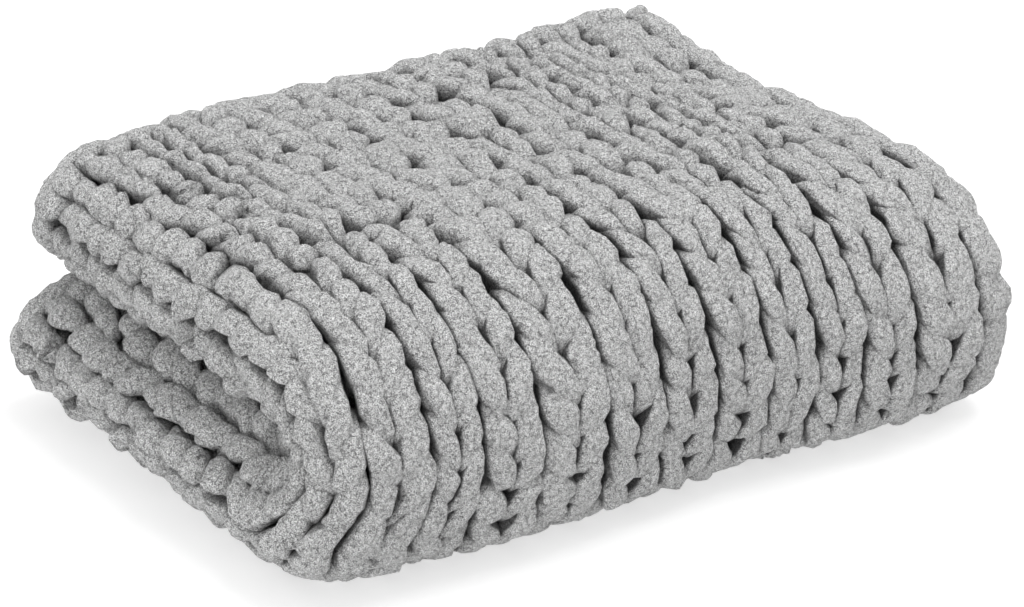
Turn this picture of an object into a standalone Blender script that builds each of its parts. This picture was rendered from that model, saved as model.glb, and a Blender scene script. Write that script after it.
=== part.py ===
"""A chunky hand-knitted chenille blanket, folded into a pile of four layers that lies on a table.

The cloth is modelled flat, as a grid with Solidify, its wales (the columns of stitches) raised on the face
side, and then every point is carried to where the two folds put it:
  fold 1, lengthways: a hairpin whose bend is the pile's left end, so that two layers lie back to back;
  fold 2, crossways: that double layer goes round a half circle, which is the pile's round front.
Flat places are (u, v, n): u across the wales from the side edge, v along them from the cast-off edge,
n through the cloth, positive on the face. Lengths are metres; +X runs along the front, +Y to the back, +Z up.
"""

import math

import bmesh
import bpy
import numpy as np

# The knitting
WALE = 0.042  # width of one column of stitches
COURSE = 0.0274  # height of one row of stitches
EDGE_WALE = 0.61  # the column at each side edge is rolled in to this share of a wale
WALES = 23  # whole wales, between the two rolled ones
COURSES = 32
CLOTH = 0.0415  # thickness of the knitted cloth
FLAT_WIDTH = (WALES + 2 * EDGE_WALE) * WALE
FLAT_LENGTH = COURSES * COURSE

# The pile
WIDTH = 0.510  # along the front, at the upper layers
LAYER_GAP = 0.004  # between the two layers of a hairpin
SLAB_GAP = 0.006  # between the upper and the lower double layer
FACE_LINE = 0.018  # this far above the cloth's middle the face neither stretches nor shrinks

DOUBLE = 2 * CLOTH + LAYER_GAP  # thickness of the double layer
HEIGHT = 2 * DOUBLE + SLAB_GAP
BEND = (CLOTH + LAYER_GAP) / 2  # hairpin radius, at the middle of the cloth
TURN = (DOUBLE + SLAB_GAP) / 2  # radius of the front turn, at the middle of the double layer
HAIRPIN = math.pi * (BEND + FACE_LINE)
TURN_ARC = math.pi * (TURN + BEND + FACE_LINE)
RUN = (FLAT_LENGTH - TURN_ARC) / 2  # straight stretch above, and again below
DEPTH = RUN + HEIGHT / 2
HAIRPIN_X = -WIDTH / 2 + BEND + CLOTH / 2
OUTER_LAYER = WIDTH / 2 - HAIRPIN_X  # from the side edge to where the hairpin starts
TURN_Y = -DEPTH / 2 + HEIGHT / 2

# How the pile has settled
CROWN = 0.083  # share by which the pile stands higher in the middle
CROWN_X = -0.04  # where it stands highest
CROWN_REACH = 0.30
BACK_DROP = 0.03  # share of its height that the pile loses at the back
FRONT_DROP = 0.115  # share of its height that the pile loses at the front
FRONT_REACH = 0.18  # how far back that loss fades out
TOE = 0.014  # the foot of the front stands forward by this
TOE_HEIGHT = 0.07
TOE_REACH = 0.14
END_REACH = 0.16  # how far in from an end its unevenness fades out
END_LIFT = 0.022  # the left end hangs clear of the table by this at the back
LEFT_SHIFT = (  # how far left the left end reaches: level, at the front, at the back
    (0.00, 0.010, 0.028),
    (0.25, 0.027, 0.022),
    (0.50, 0.005, 0.007),
    (0.75, 0.006, -0.003),
    (1.00, 0.000, -0.006),
)
RIGHT_SHIFT = (0.014, -0.012)  # how far right the right end reaches: at the front, at the back
RIGHT_DROP = 0.040  # share of its height that the pile loses at the right end
LEFT_DROP = 0.025  # the same at the left end, at the back
CORNER_LIFT = 0.125  # share of its height that the pile gains at the right back corner
CORNER_REACH = (0.17, 0.14)  # how far along X and Y that fades out
FRONT_WAVE = 0.004  # how far the front stands in and out, in waves along X
FRONT_WAVE_TURN = 24.0
FRONT_WAVE_REACH = 0.2
TOP_WAVE = 0.0022  # the same for the height of the top, in waves along X and Y
TOP_WAVE_TURNS = (19.0, 23.0)
PRESSED = 0.005  # the lowest wales are pressed flat by this much
ORIGIN = (0.0053, 0.0016)  # moves the middle of the box to the origin

# Relief of the wales, and the rounded edges
GROOVE_SHIFTS = (  # how far each groove between two wales lies off its even place, from the right edge (wales)
    0.12, 0.32, 0.20, 0.05, -0.09, -0.11, -0.14, -0.04, 0.14, 0.11, -0.11, -0.09, 0.0,
)
WALE_GROOVE = 0.0085  # between two wales
LEG_GROOVE = 0.003  # between the two legs of a wale
LUMP = 0.0009  # unevenness of the crests
LUMP_TURNS = (97.0, 61.0, 113.0)
RIM_THICKNESS = 0.5  # share of the cloth's thickness at its very edge
RIM_REACH = WALE / 4

# Grid lines
WALE_LINES = (0.0, 0.2, 0.5, 0.8)  # over one wale: groove, crest, middle, crest
RIM_STEPS = (0.0, 0.010, 0.030)  # from the cast-off and cast-on edges
RUN_STEP = 0.034
TURN_STEPS = 14
ON_LINE = 0.01  # a place this near a line, in wales, lies on it


def smooth(t):
    """0 below 0, 1 above 1, and an even rise between."""
    t = min(max(t, 0.0), 1.0)
    return t * t * (3 - 2 * t)


def hairpin(u, n):
    """Fold 1: (x, m), m being the height over the middle of the double layer."""
    if u < OUTER_LAYER:
        return HAIRPIN_X + OUTER_LAYER - u, BEND + n
    if u < OUTER_LAYER + HAIRPIN:
        angle = (u - OUTER_LAYER) / (BEND + FACE_LINE)
        return HAIRPIN_X - (BEND + n) * math.sin(angle), (BEND + n) * math.cos(angle)
    return HAIRPIN_X + u - OUTER_LAYER - HAIRPIN, -BEND - n


def front_turn(v, m):
    """Fold 2: (y, z) of a point at height m over the middle of the double layer."""
    if v < RUN:
        return TURN_Y + RUN - v, HEIGHT / 2 + TURN + m
    if v < RUN + TURN_ARC:
        angle = (v - RUN) / (TURN + BEND + FACE_LINE)
        return TURN_Y - (TURN + m) * math.sin(angle), HEIGHT / 2 + (TURN + m) * math.cos(angle)
    return TURN_Y + v - RUN - TURN_ARC, HEIGHT / 2 - TURN - m


def left_shift(level, behind):
    """How far left the left end reaches, between the rows of its table."""
    for below, above in zip(LEFT_SHIFT, LEFT_SHIFT[1:]):
        if level <= above[0] or above is LEFT_SHIFT[-1]:
            way_up = smooth((level - below[0]) / (above[0] - below[0]))
            front = below[1] + (above[1] - below[1]) * way_up
            back = below[2] + (above[2] - below[2]) * way_up
            return front + (back - front) * behind


def settle(x, y, z):
    """The soft unevenness of the real pile."""
    forward = y + DEPTH / 2
    level = z / HEIGHT
    behind = forward / DEPTH
    left_end = 1 - smooth((x + WIDTH / 2) / END_REACH)
    right_end = 1 - smooth((WIDTH / 2 - x) / END_REACH)
    rise = 1 + CROWN * (1 - ((x - CROWN_X) / CROWN_REACH) ** 2)
    rise *= 1 - FRONT_DROP * (1 - math.sin(math.pi / 2 * min(max(forward / FRONT_REACH, 0), 1)))
    rise *= (1 - BACK_DROP * smooth(behind)) * (1 - RIGHT_DROP * right_end)
    corner = smooth(1 - (WIDTH / 2 - x) / CORNER_REACH[0]) * smooth(1 - (DEPTH / 2 - y) / CORNER_REACH[1])
    rise *= (1 + CORNER_LIFT * corner) * (1 - LEFT_DROP * left_end * behind)
    height = z * rise + END_LIFT * left_end * behind * (1 - level)
    wave = math.sin(TOP_WAVE_TURNS[0] * x + 1.3) * math.sin(TOP_WAVE_TURNS[1] * y - 0.7)
    height += TOP_WAVE * wave * smooth(level)
    x -= left_end * left_shift(level, behind)
    x += right_end * (RIGHT_SHIFT[0] + (RIGHT_SHIFT[1] - RIGHT_SHIFT[0]) * behind)
    y -= TOE * (1 - smooth(z / TOE_HEIGHT)) * (1 - smooth(forward / TOE_REACH))
    y += FRONT_WAVE * math.sin(FRONT_WAVE_TURN * x + 0.8) * (1 - smooth(forward / FRONT_WAVE_REACH))
    return x + ORIGIN[0], y + ORIGIN[1], max(height - PRESSED, 0.0)


def uneven(u):
    """The same place on the uneven wales."""
    grooves = (EDGE_WALE + np.arange(len(GROOVE_SHIFTS))) * WALE
    return u + float(np.interp(u, np.append(0.0, grooves), np.append(0.0, GROOVE_SHIFTS))) * WALE


def folded(u, v, n):
    """Where a flat place of the cloth lies in the pile."""
    x, m = hairpin(uneven(u), n)
    y, z = front_turn(v, m)
    return settle(x, y, z)


def relief(u, v):
    """How far the face lies under the crest of the legs."""
    from_middle = abs((u / WALE - EDGE_WALE) % 1.0 - 0.5)
    groove = WALE_GROOVE if from_middle > 0.5 - ON_LINE else 0.0
    groove += LEG_GROOVE if from_middle < ON_LINE else 0.0
    wave = math.sin(LUMP_TURNS[0] * u + LUMP_TURNS[1] * v) * math.sin(LUMP_TURNS[2] * v)
    return groove + LUMP * (1 + wave)


def rim(u, v):
    """Share of the thickness that is left near an edge of the cloth."""
    edge = min(u, FLAT_WIDTH - u, v, FLAT_LENGTH - v)
    return RIM_THICKNESS + (1 - RIM_THICKNESS) * smooth(edge / RIM_REACH)


def across_lines():
    """Grid lines over the wales: close where the wales show, one a wale on the inner layer."""
    shown = math.ceil((OUTER_LAYER + HAIRPIN) / WALE)
    rolled = [0.0, EDGE_WALE * WALE / 2]
    fine = [(EDGE_WALE + wale + line) * WALE for wale in range(shown) for line in WALE_LINES]
    plain = [(EDGE_WALE + wale) * WALE for wale in range(shown, WALES + 1)]
    return rolled + fine + plain + [FLAT_WIDTH - rolled[1], FLAT_WIDTH]


def along_lines():
    """Grid lines along the wales, close round the front turn and at both edges."""
    steps = round((RUN - RIM_STEPS[-1]) / RUN_STEP)
    run = [RIM_STEPS[-1] + (RUN - RIM_STEPS[-1]) * i / steps for i in range(1, steps + 1)]
    above = list(RIM_STEPS) + run
    turn = [RUN + TURN_ARC * i / TURN_STEPS for i in range(1, TURN_STEPS)]
    below = [FLAT_LENGTH - v for v in reversed(above)]
    return above + turn + below


def flat_cloth(us, vs):
    """The cloth laid flat: a grid on those lines, given its thickness by Solidify."""
    mesh = bpy.data.meshes.new("flat_cloth")
    grid = bmesh.new()
    bmesh.ops.create_grid(grid, x_segments=len(us) - 1, y_segments=len(vs) - 1, size=0.5)
    for point in grid.verts:
        across = round((point.co.x + 0.5) * (len(us) - 1))
        along = round((point.co.y + 0.5) * (len(vs) - 1))
        point.co = (us[across], vs[along], 0.0)
    grid.to_mesh(mesh)
    grid.free()
    flat = bpy.data.objects.new("flat_cloth", mesh)
    bpy.context.scene.collection.objects.link(flat)
    thick = flat.modifiers.new("thickness", "SOLIDIFY")
    thick.thickness = CLOTH
    thick.offset = 0.0
    graph = bpy.context.evaluated_depsgraph_get()
    solid = bpy.data.meshes.new_from_object(flat.evaluated_get(graph))
    bpy.data.objects.remove(flat)
    return solid


def knit_material():
    material = bpy.data.materials.new("grey_chenille")
    material.use_nodes = True
    shader = material.node_tree.nodes["Principled BSDF"]
    shader.inputs["Base Color"].default_value = (0.36, 0.36, 0.36, 1.0)
    shader.inputs["Roughness"].default_value = 0.95
    shader.inputs["Metallic"].default_value = 0.0
    return material


def blanket(collection):
    mesh = flat_cloth(across_lines(), along_lines())
    mesh.name = "blanket"
    for point in mesh.vertices:
        u, v, side = point.co.x, point.co.y, point.co.z
        n = side * rim(u, v)
        if side > 0:
            n -= relief(u, v)
        point.co = folded(u, v, n)
    mesh.materials.append(knit_material())
    mesh.shade_smooth()
    mesh.set_sharp_from_angle(angle=math.radians(60))
    pile = bpy.data.objects.new("blanket", mesh)
    collection.objects.link(pile)
    return pile


def main():
    for old in list(bpy.data.objects):
        bpy.data.objects.remove(old)
    collection = bpy.data.collections.new("chunky_knit_blanket")
    bpy.context.scene.collection.children.link(collection)
    blanket(collection)


main()
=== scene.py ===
"""The looks of a chunky hand-knitted chenille blanket that lies folded in four layers.

The blanket is knitted from one thick yarn. Each course is modelled as a tube that runs across the cloth
through its stitches, in stockinette: legs on the face, heads and sinker loops on the back. The courses are
laid out flat, in places (u, v, n), and then every point goes through the same two folds as the solid
"blanket": u runs across the wales from the right side edge of the upper layer, v along them from the cast-off
edge, and n through the cloth, positive on the face. Lengths are metres; +X runs along the front, +Y to the
back, +Z up.
"""

import math

import bpy
import numpy as np
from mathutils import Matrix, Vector


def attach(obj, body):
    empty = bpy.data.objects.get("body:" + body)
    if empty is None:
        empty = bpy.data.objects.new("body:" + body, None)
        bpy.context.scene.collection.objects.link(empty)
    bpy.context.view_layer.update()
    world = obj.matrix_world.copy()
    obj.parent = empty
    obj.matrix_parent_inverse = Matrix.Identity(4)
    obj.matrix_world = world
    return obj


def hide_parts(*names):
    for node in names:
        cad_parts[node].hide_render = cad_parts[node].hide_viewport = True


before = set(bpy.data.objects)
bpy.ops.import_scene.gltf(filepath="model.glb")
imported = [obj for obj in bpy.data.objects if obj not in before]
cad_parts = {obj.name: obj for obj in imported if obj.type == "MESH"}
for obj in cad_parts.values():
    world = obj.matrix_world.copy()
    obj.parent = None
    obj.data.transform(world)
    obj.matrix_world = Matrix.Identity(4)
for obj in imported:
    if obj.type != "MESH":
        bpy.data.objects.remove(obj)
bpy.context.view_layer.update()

# ---------------------------------------------------------------- the folded cloth, as in the solid
WALE = 0.042  # width of one column of stitches
EDGE_WALE = 0.61  # the column at each side edge is rolled in to this share of a wale
WALES = 23  # whole wales, between the two rolled ones
CLOTH = 0.0415  # thickness of the knitted cloth
FLAT_WIDTH = (WALES + 2 * EDGE_WALE) * WALE
FLAT_LENGTH = 0.8768  # from the cast-off edge to the cast-on edge

WIDTH = 0.510  # along the front, at the upper layers
LAYER_GAP = 0.004  # between the two layers of a hairpin
SLAB_GAP = 0.006  # between the upper and the lower double layer
FACE_LINE = 0.018  # this far above the cloth's middle the face neither stretches nor shrinks

DOUBLE = 2 * CLOTH + LAYER_GAP  # thickness of the double layer
HEIGHT = 2 * DOUBLE + SLAB_GAP
BEND = (CLOTH + LAYER_GAP) / 2  # hairpin radius, at the middle of the cloth
TURN = (DOUBLE + SLAB_GAP) / 2  # radius of the front turn, at the middle of the double layer
HAIRPIN = math.pi * (BEND + FACE_LINE)
TURN_ARC = math.pi * (TURN + BEND + FACE_LINE)
RUN = (FLAT_LENGTH - TURN_ARC) / 2  # straight stretch above, and again below
DEPTH = RUN + HEIGHT / 2
HAIRPIN_X = -WIDTH / 2 + BEND + CLOTH / 2
OUTER_LAYER = WIDTH / 2 - HAIRPIN_X  # from the side edge to where the hairpin starts
TURN_Y = -DEPTH / 2 + HEIGHT / 2

CROWN = 0.083  # share by which the pile stands higher in the middle
CROWN_X = -0.04  # where it stands highest
CROWN_REACH = 0.30  # the crown adds nothing this far beside that
BACK_DROP = 0.03  # share of its height that the pile loses at the back
FRONT_DROP = 0.115  # share of its height that the pile loses at the front
FRONT_REACH = 0.18  # how far back that loss fades out
TOE = 0.014  # the foot of the front stands forward by this
TOE_HEIGHT = 0.07  # and fades out at this height
TOE_REACH = 0.14  # and this far back
END_REACH = 0.16  # how far in from an end its unevenness fades out
END_LIFT = 0.022  # the left end hangs clear of the table by this at the back
# The solid's table, but for its last two values at the back: the knit reaches 6 and 7 mm further there
LEFT_SHIFT = (  # how far left the left end reaches: level, at the front, at the back
    (0.00, 0.010, 0.028),
    (0.25, 0.027, 0.022),
    (0.50, 0.005, 0.007),
    (0.75, 0.006, 0.003),
    (1.00, 0.000, 0.001),
)
RIGHT_SHIFT = (0.014, -0.012)  # how far right the right end reaches: at the front, at the back
RIGHT_DROP = 0.040  # share of its height that the pile loses at the right end
LEFT_DROP = 0.025  # the same at the left end, at the back
CORNER_LIFT = 0.125  # share of its height that the pile gains at the right back corner
CORNER_REACH = (0.17, 0.14)  # how far along X and Y that fades out
FRONT_WAVE = 0.004  # how far the front stands in and out, in waves along X
FRONT_WAVE_TURN = 24.0  # radians a metre
FRONT_WAVE_START = 0.8
FRONT_WAVE_REACH = 0.2  # how far back the waves fade out
TOP_WAVE = 0.0022  # the same for the height of the top, in waves along X and Y
TOP_WAVE_TURNS = (19.0, 23.0)
TOP_WAVE_STARTS = (1.3, -0.7)
PRESSED = 0.005  # the lowest wales are pressed flat by this much
ORIGIN = (0.0053, 0.0016)  # moves the middle of the solid's box to the origin
GROOVE_SHIFTS = (  # how far each groove between two wales lies off its even place (wales)
    0.12, 0.32, 0.20, 0.05, -0.09, -0.11, -0.14, -0.04, 0.14, 0.11, -0.11, -0.09, 0.0,
)
GROOVES = (EDGE_WALE + np.arange(len(GROOVE_SHIFTS))) * WALE  # their even places, from the right edge

# ---------------------------------------------------------------- the stitches
SEED = 7
SLACK_COURSES = 11  # rows of stitches in each flat layer, where the cloth lies slack
TURN_COURSES = 13  # and round the front, where it is stretched
EARLY = 0.045  # it is stretched from so far behind the turn
SLACK_LENGTH = RUN - EARLY
SLACK_REACH = 0.06  # from slack to stretched it takes this far
COURSES = 2 * SLACK_COURSES + TURN_COURSES
ROWS = COURSES - 1  # knitted courses, between the cast-off chain and the cast-on chain
FIRST_ROW = 1.15  # place of the first one's base line, in courses from the cast-off edge
FIRST_REACH = 0.85  # its stitches reach only so far under the cast-off chain
GATHER_REACH = 0.04  # the knobs of the left end fade out this far from its bend
HALF_STITCH = ("sinker", "foot", "rise", "low", "middle", "high", "tuck", "shoulder", "head")
# At each of those places: across (wales), along (courses), through (half cloths), half width, half thickness
STRETCHED = np.array((  # round the front
    (0.500, -0.60, -0.60, 0.0085, 0.0085),
    (0.240, -0.66, -0.50, 0.0072, 0.0085),
    (0.082, -0.40, 0.20, 0.0044, 0.0083),
    (0.150, 0.00, 0.49, 0.0070, 0.0096),
    (0.236, 0.45, 0.54, 0.0099, 0.0100),
    (0.312, 0.90, 0.48, 0.0071, 0.0095),
    (0.362, 1.26, 0.22, 0.0046, 0.0086),
    (0.290, 1.48, -0.45, 0.0068, 0.0085),
    (0.000, 1.42, -0.60, 0.0080, 0.0085),
))
FLAT = np.array((  # in the flat layers
    (0.500, -0.56, -0.40, 0.0090, 0.0088),
    (0.240, -0.52, -0.28, 0.0084, 0.0087),
    (0.100, -0.30, 0.10, 0.0056, 0.0084),
    (0.162, 0.00, 0.44, 0.0080, 0.0094),
    (0.244, 0.41, 0.57, 0.0105, 0.0100),
    (0.322, 0.82, 0.44, 0.0081, 0.0094),
    (0.372, 1.10, 0.10, 0.0058, 0.0086),
    (0.292, 1.33, -0.26, 0.0080, 0.0087),
    (0.000, 1.34, -0.45, 0.0088, 0.0088),
))
GATHERED = np.array((  # in knobs, round the left end
    (0.500, -0.52, -0.50, 0.0088, 0.0088),
    (0.255, -0.46, -0.40, 0.0080, 0.0088),
    (0.140, -0.20, 0.06, 0.0054, 0.0083),
    (0.200, 0.06, 0.42, 0.0078, 0.0093),
    (0.250, 0.38, 0.60, 0.0100, 0.0100),
    (0.298, 0.70, 0.42, 0.0080, 0.0092),
    (0.342, 0.94, 0.06, 0.0056, 0.0085),
    (0.275, 1.20, -0.40, 0.0078, 0.0088),
    (0.000, 1.25, -0.55, 0.0084, 0.0088),
))
LINK = np.array((  # in the chains at the edges
    (0.500, -0.50, -0.60, 0.0080, 0.0080),
    (0.240, -0.46, -0.36, 0.0072, 0.0080),
    (0.170, -0.30, 0.14, 0.0064, 0.0083),
    (0.200, 0.00, 0.42, 0.0085, 0.0090),
    (0.240, 0.38, 0.50, 0.0098, 0.0092),
    (0.270, 0.76, 0.42, 0.0085, 0.0090),
    (0.295, 1.04, 0.14, 0.0064, 0.0084),
    (0.250, 1.18, -0.40, 0.0072, 0.0080),
    (0.000, 1.20, -0.60, 0.0080, 0.0080),
))
YARN_END = np.array((  # the short end of yarn at the first corner: u, v, n, half width and half thickness
    (0.026, 0.018, -0.002, 0.0058, 0.0058),
    (0.017, 0.012, 0.002, 0.0064, 0.0060),
    (0.009, 0.006, 0.006, 0.0068, 0.0060),
    (0.004, 0.002, 0.0085, 0.0060, 0.0054),
    (0.001, 0.000, 0.010, 0.0032, 0.0030),
))
FILLING = 0.4  # slack yarn fills this share of what a wide wale has over an even one
ROW_START = EDGE_WALE * WALE / 3  # a course's yarn starts this far from the side edge,
ROW_START_UNDER = CLOTH / 6  # this far under the cloth's middle,
ROW_START_DROP = 0.5  # this many courses below its base line,
ROW_START_YARN = 0.006  # and this thin (half of it)

# Rings of points from each place of half a stitch to the next
SHOWN = (1, 2, 3, 4, 4, 3, 1, 1)  # on a face that shows
TURNED_DOWN = (1, 1, 1, 2, 2, 2, 1, 1)  # on the face turned down to the table
BETWEEN = (1, 0, 1, 0, 1, 0, 1, 0)  # and between the layers
END_RINGS = 2  # in the first and last stretch of a course, and in the end of yarn
EDGE_STITCHES = 2  # so many wales or rows next to the far edges count as shown
ROWS_A_PIECE = 4

# The yarn
SIDES = 18  # points round it
FACE_SHARE = 0.40  # how much closer they stand on the face side
SQUARENESS = (3.8, 2.9)  # stretched and slack: 2 is round, and more is pressed flat against its neighbours

# Unevenness
LUMPS = ((0.0110, 0.0012), (0.0062, 0.0010), (0.0036, 0.0010))  # of the pile: size and height
WANDER = ((0.110, 0.0030), (0.045, 0.0010))  # of the rows and wales: size and reach
WANDER_SEED = 40
STITCH_JITTER = (0.0009, 0.0017, 0.0008, 0.0005, 0.0004)  # of a stitch: u, v, n, width, thickness
PLACE_JITTER = (0.0007, 0.0014, 0.0008, 0.0005, 0.0005)  # and of each place in it
LOOSE = 1.6  # slack stitches are that much less even
GRID_START = 1000.0  # moves the cells of the uneven values well above zero
GRID_KEYS = (73856093, 19349663, 83492791)  # large primes, so that neighbouring cells get unlike values
GRID_VALUES = 4096  # a power of two

# The chains at the edges
EDGE_TILT = math.radians(45)  # they face half outwards
EDGE_WIDTH = 0.031  # of a link
EDGE_DEPTH = 0.025  # its thickness, as CLOTH is a stitch's
EDGE_INSET = 0.33  # courses that the cast-off and cast-on chains lie in from their edges
SIDE_INSET = 0.002  # the side chains lie this much further in than the middle of the rolled wale
SIDE_LINKS = 20

# Painted shade on the pile, from 0 to 1: darkness put into its colour where the hollows between the stitches
# and the yarn's sides lie in shade
CREST = 0.0200  # height of the stitches' tops over the middle of the cloth
PAINTED_SHADE_DEPTH = 0.0075  # so far under them the pile is in the dark
EDGE_FADE = 0.020  # but it fades out this near the edge of the cloth
OPEN_SHADE = 0.68  # share of that dark where the stitches are slack or gathered
INSIDE_LIGHT = 0.35  # share that the inner layers lose, which lie in the shade already, over the same fade
GROOVE_SHADE = (0.76, 0.94, 0.70)  # on the side of the next wale: where it starts and is full, and how dark
LEG_SHADE = (0.78, 0.94, 0.85)  # the same on the side of the stitch's other leg
ROUND_SHADE = 0.12  # both start that much sooner where the yarn is slack and rounder


def smooth(t):
    """0 below 0, 1 above 1, and an even rise between."""
    t = np.clip(t, 0.0, 1.0)
    return t * t * (3 - 2 * t)


def fold(u, v, n):
    """The two folds: the hairpin at the left end, then the half turn at the front."""
    angle = np.clip((u - OUTER_LAYER) / (BEND + FACE_LINE), 0.0, math.pi)
    beyond = np.maximum(OUTER_LAYER - u, 0.0) + np.maximum(u - OUTER_LAYER - HAIRPIN, 0.0)
    x = HAIRPIN_X + beyond - (BEND + n) * np.sin(angle)
    m = (BEND + n) * np.cos(angle)
    angle = np.clip((v - RUN) / (TURN + BEND + FACE_LINE), 0.0, math.pi)
    beyond = np.maximum(RUN - v, 0.0) + np.maximum(v - RUN - TURN_ARC, 0.0)
    y = TURN_Y + beyond - (TURN + m) * np.sin(angle)
    z = HEIGHT / 2 + (TURN + m) * np.cos(angle)
    return x, y, z


def settle(x, y, z):
    """The soft unevenness of the real pile."""
    forward = y + DEPTH / 2
    level = z / HEIGHT
    behind = forward / DEPTH
    left_end = 1 - smooth((x + WIDTH / 2) / END_REACH)
    right_end = 1 - smooth((WIDTH / 2 - x) / END_REACH)
    rise = 1 + CROWN * (1 - ((x - CROWN_X) / CROWN_REACH) ** 2)
    rise *= 1 - FRONT_DROP * (1 - np.sin(math.pi / 2 * np.clip(forward / FRONT_REACH, 0, 1)))
    rise *= (1 - BACK_DROP * smooth(behind)) * (1 - RIGHT_DROP * right_end)
    corner = smooth(1 - (WIDTH / 2 - x) / CORNER_REACH[0]) * smooth(1 - (DEPTH / 2 - y) / CORNER_REACH[1])
    rise = rise * (1 + CORNER_LIFT * corner) * (1 - LEFT_DROP * left_end * behind)
    height = z * rise + END_LIFT * left_end * behind * (1 - level)
    wave = np.sin(TOP_WAVE_TURNS[0] * x + TOP_WAVE_STARTS[0])
    wave = wave * np.sin(TOP_WAVE_TURNS[1] * y + TOP_WAVE_STARTS[1])
    height = height + TOP_WAVE * wave * smooth(level)
    x = x - left_end * left_shift(level, behind)
    x = x + right_end * (RIGHT_SHIFT[0] + (RIGHT_SHIFT[1] - RIGHT_SHIFT[0]) * behind)
    y = y - TOE * (1 - smooth(z / TOE_HEIGHT)) * (1 - smooth(forward / TOE_REACH))
    wave = np.sin(FRONT_WAVE_TURN * x + FRONT_WAVE_START)
    y = y + FRONT_WAVE * wave * (1 - smooth(forward / FRONT_WAVE_REACH))
    return x + ORIGIN[0], y + ORIGIN[1], np.maximum(height - PRESSED, 0.0)


def left_shift(level, behind):
    """How far left the left end reaches, between the rows of its table."""
    table = np.array(LEFT_SHIFT)
    step = np.clip(np.searchsorted(table[:, 0], level, side="left") - 1, 0, len(table) - 2)
    below = table[step]
    above = table[step + 1]
    way_up = smooth((level - below[..., 0]) / (above[..., 0] - below[..., 0]))
    front = below[..., 1] + (above[..., 1] - below[..., 1]) * way_up
    back = below[..., 2] + (above[..., 2] - below[..., 2]) * way_up
    return front + (back - front) * behind


def folded(flat):
    """Where flat places of the cloth lie in the pile."""
    level = flat * (1.0, 1.0, 0.0)
    u, v = (
        flat[..., way] + sum(reach * lumps(level, size, WANDER_SEED + way) for size, reach in WANDER)
        for way in (0, 1)
    )
    u = u + np.interp(u, np.append(0.0, GROOVES), np.append(0.0, GROOVE_SHIFTS)) * WALE
    return np.stack(settle(*fold(u, v, flat[..., 2])), axis=-1)


# ---------------------------------------------------------------- small helpers
def lumps(places, size, seed):
    """Smooth uneven values from -1 to 1, about one lump a size."""
    grid = places / size + GRID_START
    cell = np.floor(grid).astype(np.int64)
    part = smooth(grid - cell)
    values = np.random.default_rng(seed).uniform(-1, 1, GRID_VALUES)
    total = np.zeros(places.shape[:-1])
    for corner in np.ndindex(2, 2, 2):
        keys = (cell + np.array(corner)) * GRID_KEYS
        key = keys[..., 0] ^ keys[..., 1] ^ keys[..., 2]
        weight = np.prod(np.where(np.array(corner) == 1, part, 1 - part), axis=-1)
        total += weight * values[key & (GRID_VALUES - 1)]
    return total


def through(places, rings):
    """A smooth line (Catmull-Rom) from the first place on, with so many rings after each that has a count."""
    before = np.vstack([2 * places[:1] - places[1:2], places, 2 * places[-1:] - places[-2:-1]])
    start = np.repeat(np.arange(len(rings)), rings)
    part = np.concatenate([np.arange(count) / count for count in rings if count])
    start = np.append(start, len(rings) - 1)
    part = np.append(part, 1.0)[:, None]
    a, b, c, d = (before[start + i] for i in range(4))
    square = 2 * a - 5 * b + 4 * c - d
    cube = 3 * b - a - 3 * c + d
    return 0.5 * (2 * b + (c - a) * part + square * part**2 + cube * part**3)


def tube(line):
    """Points, faces and painted side shade of a yarn along a flat line of (u, v, n, half width, half
    thickness).
    """
    centre = line[:, :3]
    ahead = np.gradient(centre, axis=0)
    ahead /= np.linalg.norm(ahead, axis=1, keepdims=True)
    side = np.cross(ahead, (0.0, 0.0, 1.0))
    side /= np.linalg.norm(side, axis=1, keepdims=True)
    out = np.cross(side, ahead)
    turn = np.arange(SIDES) * 2 * math.pi / SIDES
    turn = turn - FACE_SHARE * np.sin(turn)
    up = np.cos(turn)
    across = np.sin(turn)
    ease = slack(line[:, 1, None])
    power = SQUARENESS[0] + (SQUARENESS[1] - SQUARENESS[0]) * ease
    square = (np.abs(up) ** power + np.abs(across) ** power) ** (-1 / power)
    spoke = out[:, None] * (up * square * line[:, 4, None])[..., None]
    spoke = spoke + side[:, None] * (across * square * line[:, 3, None])[..., None]
    points = centre[:, None] + spoke
    spoke /= np.linalg.norm(spoke, axis=-1, keepdims=True)
    swell = sum(height * lumps(points, size, SEED + index) for index, (size, height) in enumerate(LUMPS))
    points = points + spoke * swell[..., None]
    ring = np.arange(len(line) - 1)[:, None] * SIDES
    first = ring + np.arange(SIDES)
    after = ring + (np.arange(SIDES) + 1) % SIDES
    quads = np.stack([first, after, after + SIDES, first + SIDES], axis=-1).reshape(-1, 4)
    # Painted shade on the yarn's sides, towards the next wale and towards the stitch's other leg
    aside = across * square * (1 + ROUND_SHADE * ease)
    painted_dark = np.maximum(shade(aside, GROOVE_SHADE), shade(-aside, LEG_SHADE))
    return points.reshape(-1, 3), quads, painted_dark.ravel()


def shade(aside, spread):
    """How much shade is painted on the yarn so far round its side."""
    low, high, most = spread
    return most * smooth((aside - low) / (high - low))


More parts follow.
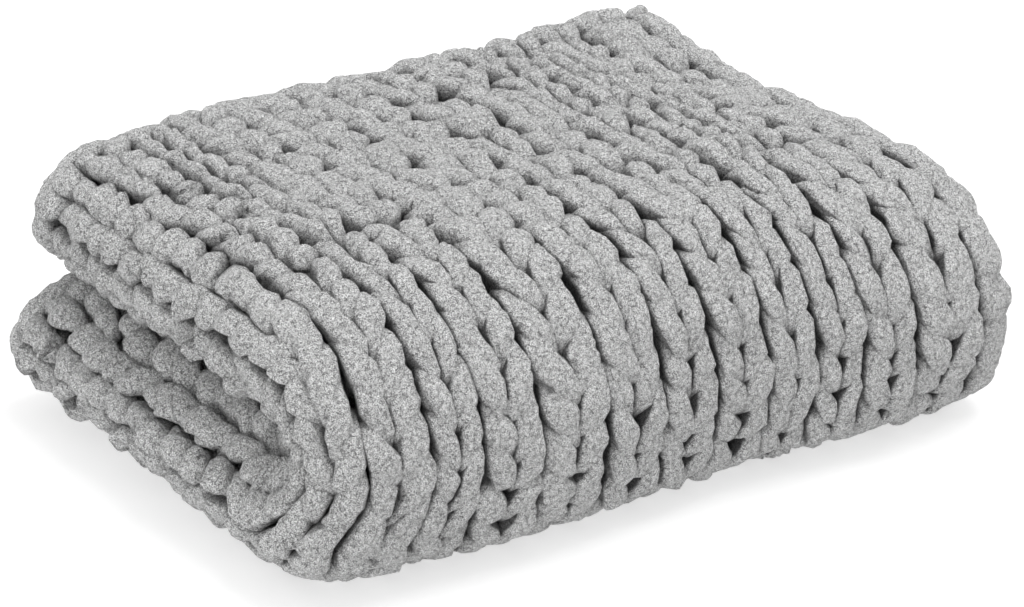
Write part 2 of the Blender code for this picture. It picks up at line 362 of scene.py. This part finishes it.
def painted_shade(flat, side_shade):
    """How much shade is painted on flat places: 0 on the stitches' tops, 1 far down, and at least that of the
    yarn's side.
    """
    u, v, n = flat.T
    edge = np.minimum(np.minimum(u, FLAT_WIDTH - u), np.minimum(v, FLAT_LENGTH - v))
    # Painted shade: darker deeper under the stitches' tops, less where slack, near the edges and on the inner
    # layers
    painted_dark = np.clip(np.maximum((CREST - np.abs(n)) / PAINTED_SHADE_DEPTH, side_shade), 0.0, 1.0)
    inside = smooth((u - OUTER_LAYER - HAIRPIN / 2) / EDGE_FADE)
    light = (1 + (OPEN_SHADE - 1) * np.maximum(slack(v), gathered(u))) * (1 - INSIDE_LIGHT * inside)
    return painted_dark * smooth(edge / EDGE_FADE) * light


def slack(v):
    """1 where the cloth lies slack, in the flat layers, and 0 where it is stretched round the front."""
    beyond = FLAT_LENGTH - SLACK_LENGTH - v
    return 1 - smooth((v - SLACK_LENGTH) / SLACK_REACH) * smooth(beyond / SLACK_REACH)


def gathered(u):
    """How far a column of slack stitches is gathered into knobs: fully where it turns at the left end."""
    off = np.abs(u - OUTER_LAYER - HAIRPIN / 2) - HAIRPIN / 2
    return 1 - smooth(off / GATHER_REACH)


def mesh_piece(name, tubes, material):
    """One object from several tubes, folded into the pile, with both ends of each tube closed."""
    points = np.concatenate([part[0] for part in tubes])
    side_shade = np.concatenate([part[2] for part in tubes])
    starts = np.cumsum([0] + [len(part[0]) for part in tubes])
    quads = np.concatenate([part[1] + start for part, start in zip(tubes, starts)])
    caps = []
    for (own, _, _), start in zip(tubes, starts):
        caps.append(start + np.arange(SIDES)[::-1])
        caps.append(start + len(own) - SIDES + np.arange(SIDES))
    caps = np.array(caps)
    corners = np.concatenate([quads.ravel(), caps.ravel()])
    sizes = np.concatenate([np.full(len(quads), 4), np.full(len(caps), SIDES)])
    mesh = bpy.data.meshes.new(name)
    mesh.vertices.add(len(points))
    mesh.vertices.foreach_set("co", folded(points).astype(np.float32).ravel())
    mesh.loops.add(len(corners))
    mesh.loops.foreach_set("vertex_index", corners.astype(np.int32))
    mesh.polygons.add(len(sizes))
    mesh.polygons.foreach_set("loop_start", np.concatenate([[0], np.cumsum(sizes)[:-1]]).astype(np.int32))
    # The painted shade of each point, which the material multiplies into the pile's colour
    painted_shade_layer = mesh.attributes.new("painted_shade", "FLOAT", "POINT")
    painted_shade_layer.data.foreach_set("value", painted_shade(points, side_shade).astype(np.float32))
    mesh.update(calc_edges=True)
    mesh.validate()
    mesh.shade_smooth()
    mesh.materials.append(material)
    piece = bpy.data.objects.new(name, mesh)
    bpy.context.scene.collection.objects.link(piece)
    return piece


# ---------------------------------------------------------------- the knitting
def wale_middle(wale):
    """How far from the side edge the middle of a whole wale lies, when they are even."""
    return (EDGE_WALE + wale + 0.5) * WALE


def along_cloth(course):
    """How far from the cast-off edge a place lies, from its number of courses."""
    turned = SLACK_COURSES + TURN_COURSES
    return np.interp(
        course,
        (0, SLACK_COURSES, turned, COURSES),
        (0, SLACK_LENGTH, FLAT_LENGTH - SLACK_LENGTH, FLAT_LENGTH),
    )


def wale_share(wale, ease):
    """How wide the yarn of an uneven wale is, against an even one: it fills a wide one only if slack."""
    shifts = GROOVE_SHIFTS + (0.0,) * WALES
    return 1 + (shifts[wale + 1] - shifts[wale]) * FILLING * ease


def stitch(shape, rings):
    """A whole stitch from its half: its 16 places, and the rings after each of them but the last."""
    last = len(HALF_STITCH) - 1
    there = shape * (-1, 1, 1, 1, 1)
    places = np.vstack([there, shape[last - 1 : 0 : -1]])
    return places, list(rings) + list(rings[:0:-1])


def rings_of(wale, row):
    """The rings that a stitch gets."""
    middle = wale_middle(wale)
    if row == 0 or row >= ROWS - EDGE_STITCHES or wale >= WALES - EDGE_STITCHES:
        return SHOWN
    if middle > OUTER_LAYER + HAIRPIN + WALE:
        return BETWEEN
    if wale > 0 and middle < OUTER_LAYER - WALE and row > SLACK_COURSES + TURN_COURSES:
        return TURNED_DOWN
    return SHOWN


def uneven(count, chance):
    """A small unevenness of a stitch and of each of its places: u, v, n, half width and half thickness."""
    whole = chance.normal(0.0, 1.0, len(STITCH_JITTER)) * STITCH_JITTER
    return whole + chance.normal(0.0, 1.0, (count, len(PLACE_JITTER))) * PLACE_JITTER


def course_line(row, chance):
    """One course of yarn across the cloth: its places and counts of rings.

    Every stitch has one count fewer than places. So the counts move on by one place a stitch, and the tube
    ends 1.4 stitches before the far side edge, between the layers.
    """
    base = FIRST_ROW + row
    edge = float(along_cloth(base + ROW_START_DROP))
    places = [(ROW_START, edge, -ROW_START_UNDER, ROW_START_YARN, ROW_START_YARN)]
    rings = [END_RINGS]
    ease = float(slack(along_cloth(base)))
    for wale in range(WALES):
        middle = wale_middle(wale)
        knob = float(gathered(middle))
        shape = (1 - ease) * STRETCHED + ease * ((1 - knob) * FLAT + knob * GATHERED)
        if row == 0:
            shape = shape * (1.0, FIRST_REACH, 1.0, 1.0, 1.0)
        own, its_rings = stitch(shape, rings_of(wale, row))
        own = own * (WALE, 1.0, CLOTH / 2, wale_share(wale, ease), 1.0) + (middle, 0.0, 0.0, 0.0, 0.0)
        own[:, 1] = along_cloth(base - own[:, 1])
        places.extend(own + uneven(len(own), chance) * (1 + (LOOSE - 1) * ease))
        rings.extend(its_rings)
    places.append((FLAT_WIDTH - ROW_START, edge, -ROW_START_UNDER, ROW_START_YARN, ROW_START_YARN))
    return np.array(places), rings[:-1] + [END_RINGS]


def chain(start, along, across, count, pitch, chance):
    """The looped chain at an edge: each link is a stitch of its own, without its first and last place."""
    start, along, across = (np.array(way, float) for way in (start, along, across))
    out = np.cross(along, across)
    shape, rings = stitch(LINK, SHOWN)
    shape = shape[1:]
    tubes = []
    for link in range(count):
        middle = start + along * ((link + 0.5 + shape[:, 1:2]) * pitch)
        middle = middle + across * shape[:, 0:1] * EDGE_WIDTH + out * shape[:, 2:3] * EDGE_DEPTH / 2
        places = np.hstack([middle, shape[:, 3:]]) + uneven(len(middle), chance)
        tubes.append(tube(through(places, rings[1:-1])))
    return tubes


def edges(chance):
    """The chains at the four edges, and the short end of yarn: tubes."""
    lean = math.sin(EDGE_TILT)
    rise = math.cos(EDGE_TILT)
    side = EDGE_WALE * WALE / 2
    brim = side + SIDE_INSET
    end = float(along_cloth(EDGE_INSET))
    pitch = FLAT_LENGTH / (SIDE_LINKS + 1)
    tubes = chain((side, end, 0), (1, 0, 0), (0, rise, lean), WALES, WALE, chance)
    tubes += chain((side, FLAT_LENGTH - end, 0), (1, 0, 0), (0, rise, -lean), WALES, WALE, chance)
    tubes += chain((brim, FLAT_LENGTH, 0), (0, -1, 0), (rise, 0, lean), SIDE_LINKS, pitch, chance)
    far = FLAT_WIDTH - brim
    tubes += chain((far, FLAT_LENGTH, 0), (0, -1, 0), (rise, 0, -lean), SIDE_LINKS, pitch, chance)
    tubes.append(tube(through(YARN_END, [END_RINGS] * (len(YARN_END) - 1))))
    return tubes


def knitting(material):
    """All the courses, a few of them to a piece, and the chains at the edges."""
    chance = np.random.default_rng(SEED)
    pieces = []
    for first in range(0, ROWS, ROWS_A_PIECE):
        last = min(first + ROWS_A_PIECE, ROWS)
        tubes = [tube(through(*course_line(row, chance))) for row in range(first, last)]
        pieces.append(mesh_piece(f"courses_{first + 1}_to_{last}", tubes, material))
    pieces.append(mesh_piece("edge_chains", edges(chance), material))
    return pieces


# ---------------------------------------------------------------- materials
def put(node, values):
    """Sets a node's inputs by their names."""
    for name, value in values.items():
        node.inputs[name].default_value = value


def ramp(nodes, *stops):
    """A ramp of greys through two stops, each a position and a grey."""
    node = nodes.new("ShaderNodeValToRGB")
    for element, (position, grey) in zip(node.color_ramp.elements, stops):
        element.position = position
        element.color = (grey, grey, grey, 1.0)
    return node


def chenille():
    """Grey chenille pile of fine fibres over small tufts, with painted shade in the hollows between stitches.
    """
    material = bpy.data.materials.new("grey_chenille")
    material.use_nodes = True
    nodes = material.node_tree.nodes
    link = material.node_tree.links.new
    shader = nodes["Principled BSDF"]
    put(shader, {"Roughness": 0.95, "Specular IOR Level": 0.15, "Sheen Weight": 0.25, "Sheen Roughness": 0.5})

    place = nodes.new("ShaderNodeTexCoord")
    brushed = nodes.new("ShaderNodeMapping")
    put(brushed, {"Scale": (1.0, 0.5, 1.0)})
    link(place.outputs["Object"], brushed.inputs["Vector"])
    pile = nodes.new("ShaderNodeTexNoise")
    put(pile, {"Scale": 1700.0, "Detail": 1.5, "Roughness": 0.6})
    link(brushed.outputs["Vector"], pile.inputs["Vector"])
    tuft = nodes.new("ShaderNodeTexVoronoi")
    put(tuft, {"Scale": 340.0})
    link(place.outputs["Object"], tuft.inputs["Vector"])
    tops = nodes.new("ShaderNodeMath")
    tops.operation = "SUBTRACT"
    tops.inputs[0].default_value = 1.0
    link(tuft.outputs["Distance"], tops.inputs[1])

    # The pile's grey follows the same noise and tufts as its bumps, lighter on the fibre tips and tuft tops
    # and darker between them: partly the pile's own uneven tone, partly painted shade and painted highlight
    # of the fibres
    grain_and_fibre_shade = ramp(nodes, (0.38, 0.16), (0.635, 1.0))
    mixed = nodes.new("ShaderNodeMix")
    put(mixed, {"Factor": 0.16})
    link(pile.outputs["Fac"], mixed.inputs["A"])
    link(tops.outputs["Value"], mixed.inputs["B"])
    link(mixed.outputs["Result"], grain_and_fibre_shade.inputs["Fac"])
    # Painted shade: the pile's grey is multiplied down by the shade painted on each point
    painted_shade_input = nodes.new("ShaderNodeAttribute")
    painted_shade_input.attribute_name = "painted_shade"
    painted_shade_ramp = ramp(nodes, (0.26, 1.0), (0.95, 0.06))
    painted_shade_ramp.color_ramp.interpolation = "EASE"
    link(painted_shade_input.outputs["Fac"], painted_shade_ramp.inputs["Fac"])
    painted_shade_mix = nodes.new("ShaderNodeMix")
    painted_shade_mix.data_type = "RGBA"
    painted_shade_mix.blend_type = "MULTIPLY"
    put(painted_shade_mix, {"Factor": 1.0})
    link(grain_and_fibre_shade.outputs["Color"], painted_shade_mix.inputs["A"])
    link(painted_shade_ramp.outputs["Color"], painted_shade_mix.inputs["B"])
    link(painted_shade_mix.outputs["Result"], shader.inputs["Base Color"])

    coarse = nodes.new("ShaderNodeBump")
    put(coarse, {"Strength": 0.8, "Distance": 0.003})
    link(tops.outputs["Value"], coarse.inputs["Height"])
    fine = nodes.new("ShaderNodeBump")
    put(fine, {"Strength": 1.0, "Distance": 0.0025})
    link(pile.outputs["Fac"], fine.inputs["Height"])
    link(coarse.outputs["Normal"], fine.inputs["Normal"])
    link(fine.outputs["Normal"], shader.inputs["Normal"])
    return material


def studio_white():
    """The white of the floor, which shines a little of its own."""
    material = bpy.data.materials.new("studio_white")
    material.use_nodes = True
    shader = material.node_tree.nodes["Principled BSDF"]
    put(shader, {"Base Color": (0.50, 0.50, 0.50, 1.0), "Roughness": 0.9, "Specular IOR Level": 0.0})
    put(shader, {"Emission Color": (1.0, 1.0, 1.0, 1.0), "Emission Strength": 0.57})
    return material


# ---------------------------------------------------------------- the studio
AZIMUTH = -34.0768  # degrees from straight in front, less than zero to the left
ELEVATION = 24.1412  # degrees above level
DISTANCE = 3.0
LOOK_AT = (*ORIGIN, 0.08)
PHOTO_WIDTH = 1024  # pixels
FOCAL_PIXELS = 4582.5  # focal length, in the photo's pixels
MIDDLE_OFF = (6.147, -1.845)  # pixels that LOOK_AT lies right of and below the photo's middle
SENSOR = 36.0  # millimetres
LIGHTS = (  # name, place, diameter and watts
    ("key", (0.8, -0.3, 2.8), 2.2, 52.0),
    ("fill", (-2.4, -0.9, 0.45), 1.2, 15.0),
    ("front", (1.2, -2.8, 0.5), 1.6, 5.0),
)
SKY = 0.95  # strength of the white light from all sides
FLOOR_REACH = 30.0
FLOOR_DROP = 0.0004  # the floor lies so far under the pile


def camera():
    """The camera of the photo."""
    azimuth = math.radians(AZIMUTH)
    elevation = math.radians(ELEVATION)
    level = math.cos(elevation)
    back = Vector((math.sin(azimuth) * level, -math.cos(azimuth) * level, math.sin(elevation)))
    data = bpy.data.cameras.new("camera")
    data.sensor_width = SENSOR
    data.lens = FOCAL_PIXELS * SENSOR / PHOTO_WIDTH
    data.shift_x = -MIDDLE_OFF[0] / PHOTO_WIDTH
    data.shift_y = MIDDLE_OFF[1] / PHOTO_WIDTH
    data.clip_end = 100.0
    eye = bpy.data.objects.new("camera", data)
    eye.location = Vector(LOOK_AT) + back * DISTANCE
    eye.rotation_mode = "QUATERNION"
    eye.rotation_quaternion = (-back).to_track_quat("-Z", "Y")
    bpy.context.scene.collection.objects.link(eye)
    bpy.context.scene.camera = eye


def light(name, place, size, power):
    """A round soft light that shines at the pile."""
    data = bpy.data.lights.new(name, "AREA")
    data.shape = "DISK"
    data.size = size
    data.energy = power
    lamp = bpy.data.objects.new(name, data)
    lamp.location = place
    lamp.rotation_mode = "QUATERNION"
    lamp.rotation_quaternion = (Vector(LOOK_AT) - Vector(place)).to_track_quat("-Z", "Y")
    lamp.visible_camera = False
    bpy.context.scene.collection.objects.link(lamp)


def studio():
    """White all round, the lights and the floor."""
    world = bpy.data.worlds.new("studio")
    world.use_nodes = True
    put(world.node_tree.nodes["Background"], {"Color": (1.0, 1.0, 1.0, 1.0), "Strength": SKY})
    bpy.context.scene.world = world
    for row in LIGHTS:
        light(*row)
    mesh = bpy.data.meshes.new("floor")
    corners = ((-1, -1), (1, -1), (1, 1), (-1, 1))
    places = [(x * FLOOR_REACH, y * FLOOR_REACH, -FLOOR_DROP) for x, y in corners]
    mesh.from_pydata(places, [], [(0, 1, 2, 3)])
    mesh.materials.append(studio_white())
    floor = bpy.data.objects.new("floor", mesh)
    bpy.context.scene.collection.objects.link(floor)
    bpy.context.scene.view_settings.view_transform = "Standard"


def main():
    """The blanket in its studio, each piece attached to the root body, and the solid hidden."""
    camera()
    studio()
    knit = knitting(chenille())
    for piece in knit:
        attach(piece, "root")
        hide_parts("blanket")


main()
